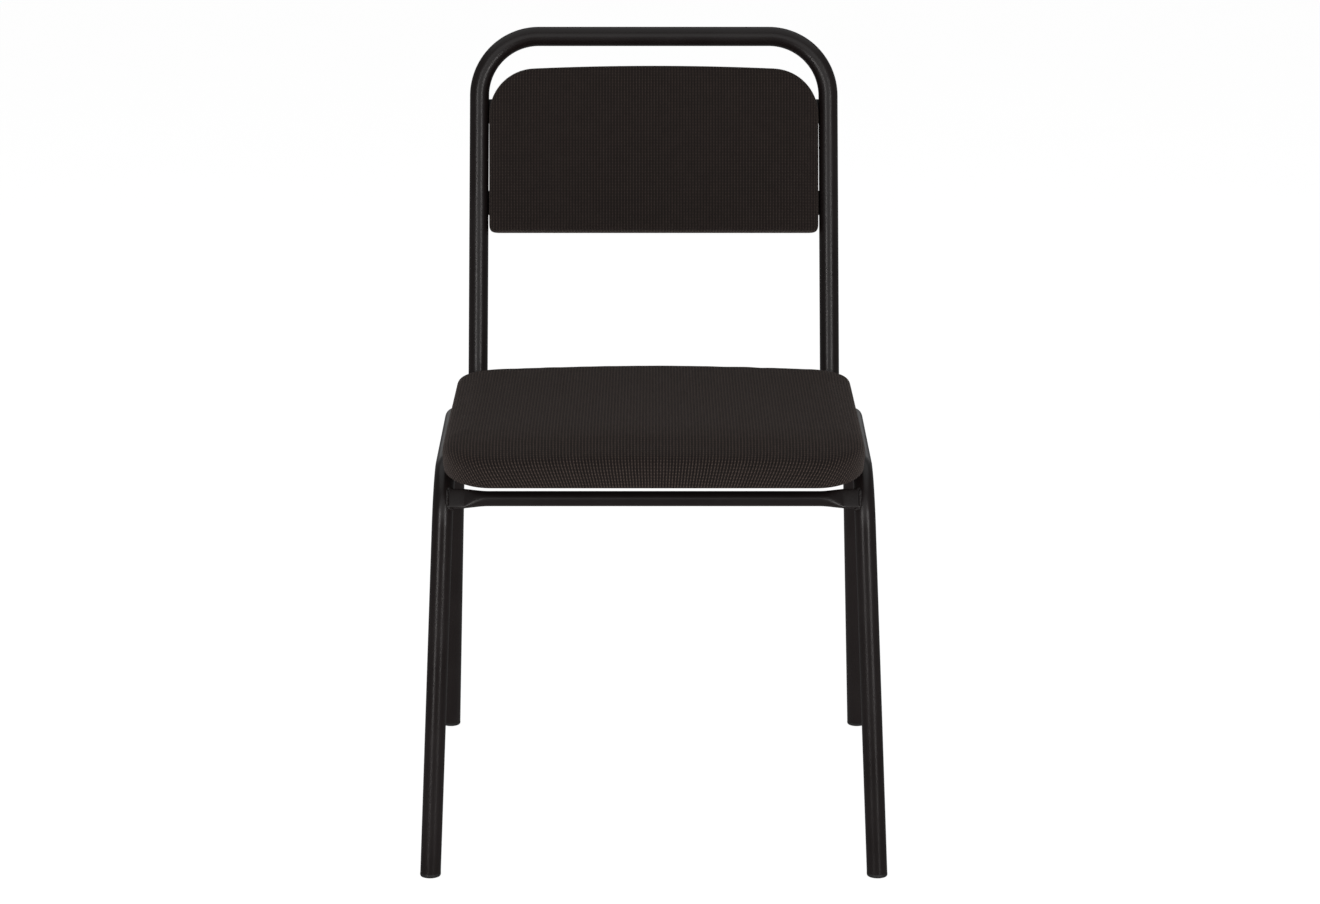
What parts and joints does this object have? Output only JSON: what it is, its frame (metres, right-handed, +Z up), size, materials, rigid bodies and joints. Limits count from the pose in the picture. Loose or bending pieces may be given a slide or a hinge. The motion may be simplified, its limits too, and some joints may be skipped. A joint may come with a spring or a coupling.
{
  "type": "stacking chair",
  "caption": "Armless stacking chair with a bent steel tube frame, a hoop back, a woven seat pad with a waterfall front and a woven back pad between the uprights.",
  "frame": {"origin": "on the floor, in the middle of the chair's box", "axes": "+Z up, -Y towards the sitter's knees (the front), +X to the right as seen from the front"},
  "size_m": [0.5072, 0.5557, 0.837],
  "materials": {
    "frame_paint": "semi-gloss black powder coat",
    "cap_plastic": "matt black moulded polyethylene",
    "plywood": "plain birch plywood",
    "foam": "open-cell polyurethane foam",
    "woven_fabric": "coarse plain-weave upholstery in black and dark brown-grey",
    "liner": "black non-woven liner",
    "panel_plastic": "fine-grained black plastic",
    "zinc_steel": "zinc plated"
  },
  "bodies": {
    "root": {"left_side_frame": "frame_paint", "right_side_frame": "frame_paint", "back_hoop": "frame_paint", "front_crossbar": "frame_paint", "rear_crossbar": "frame_paint", "front_left_seat_tab": "frame_paint", "front_right_seat_tab": "frame_paint", "rear_left_seat_tab": "frame_paint", "rear_right_seat_tab": "frame_paint", "upper_left_back_tab": "frame_paint", "upper_right_back_tab": "frame_paint", "lower_left_back_tab": "frame_paint", "lower_right_back_tab": "frame_paint", "front_left_foot_cap": "cap_plastic", "front_right_foot_cap": "cap_plastic", "rear_left_foot_cap": "cap_plastic", "rear_right_foot_cap": "cap_plastic", "left_bearer_cap": "cap_plastic", "right_bearer_cap": "cap_plastic", "seat_board": "plywood", "back_board": "plywood", "seat_foam": "foam", "back_foam": "foam", "seat_cover": "woven_fabric", "back_cover": "woven_fabric", "seat_dust_cover": "liner", "back_rear_panel": "panel_plastic", "seat_staples": "zinc_steel", "seat_tee_nuts": "zinc_steel", "seat_screws": "zinc_steel", "seat_washers": "zinc_steel", "back_staples": "zinc_steel", "back_tee_nuts": "zinc_steel", "back_screws": "zinc_steel", "back_washers": "zinc_steel"}
  },
  "joints": []
}
